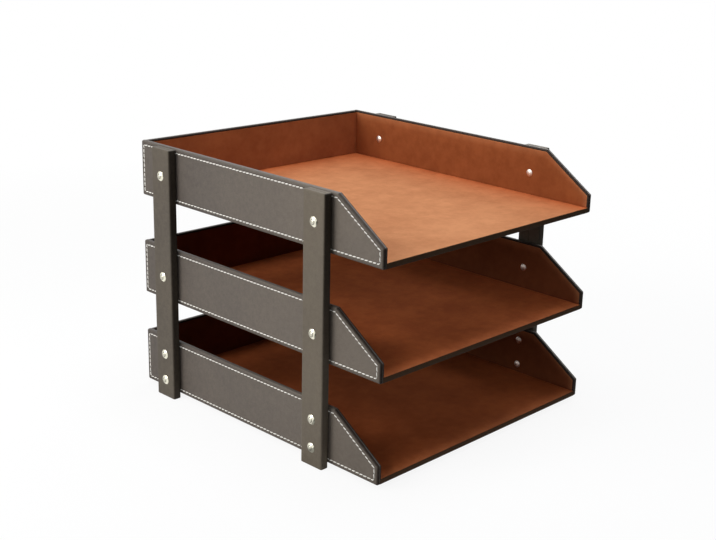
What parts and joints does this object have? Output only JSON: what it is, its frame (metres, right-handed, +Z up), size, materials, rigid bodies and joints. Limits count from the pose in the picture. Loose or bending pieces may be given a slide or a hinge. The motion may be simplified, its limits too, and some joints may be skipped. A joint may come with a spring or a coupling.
{
  "type": "three-tier letter tray",
  "caption": "Stack of open-front letter trays of leather-wrapped boards lined with suede, held by upright posts.",
  "frame": {"origin": "centre of the footprint, on the surface that the four posts stand on", "axes": "+Z up; -Y towards the open front of the trays; +X to the right of someone facing the front"},
  "size_m": [0.3004, 0.315, 0.242],
  "materials": {
    "leather": "fine grain, semi-matt",
    "suede": "short nap",
    "board": "unfinished fibreboard",
    "nickel": "polished",
    "thread": "waxed thread"
  },
  "bodies": {
    "root": {"bottom_base_board": "board", "bottom_base_cover": "leather", "bottom_back_board": "board", "bottom_back_cover": "leather", "bottom_left_board": "board", "bottom_left_cover": "leather", "bottom_right_board": "board", "bottom_right_cover": "leather", "bottom_floor_lining": "suede", "bottom_back_lining": "suede", "bottom_left_lining": "suede", "bottom_right_lining": "suede", "bottom_stitching": "thread", "middle_base_board": "board", "middle_base_cover": "leather", "middle_back_board": "board", "middle_back_cover": "leather", "middle_left_board": "board", "middle_left_cover": "leather", "middle_right_board": "board", "middle_right_cover": "leather", "middle_floor_lining": "suede", "middle_back_lining": "suede", "middle_left_lining": "suede", "middle_right_lining": "suede", "middle_stitching": "thread", "top_base_board": "board", "top_base_cover": "leather", "top_back_board": "board", "top_back_cover": "leather", "top_left_board": "board", "top_left_cover": "leather", "top_right_board": "board", "top_right_cover": "leather", "top_floor_lining": "suede", "top_back_lining": "suede", "top_left_lining": "suede", "top_right_lining": "suede", "top_stitching": "thread", "front_left_post_core": "board", "front_left_post_cover": "leather", "front_left_barrel_nuts": "nickel", "front_left_screws": "nickel", "front_right_post_core": "board", "front_right_post_cover": "leather", "front_right_barrel_nuts": "nickel", "front_right_screws": "nickel", "rear_left_post_core": "board", "rear_left_post_cover": "leather", "rear_left_barrel_nuts": "nickel", "rear_left_screws": "nickel", "rear_right_post_core": "board", "rear_right_post_cover": "leather", "rear_right_barrel_nuts": "nickel", "rear_right_screws": "nickel"}
  },
  "joints": []
}
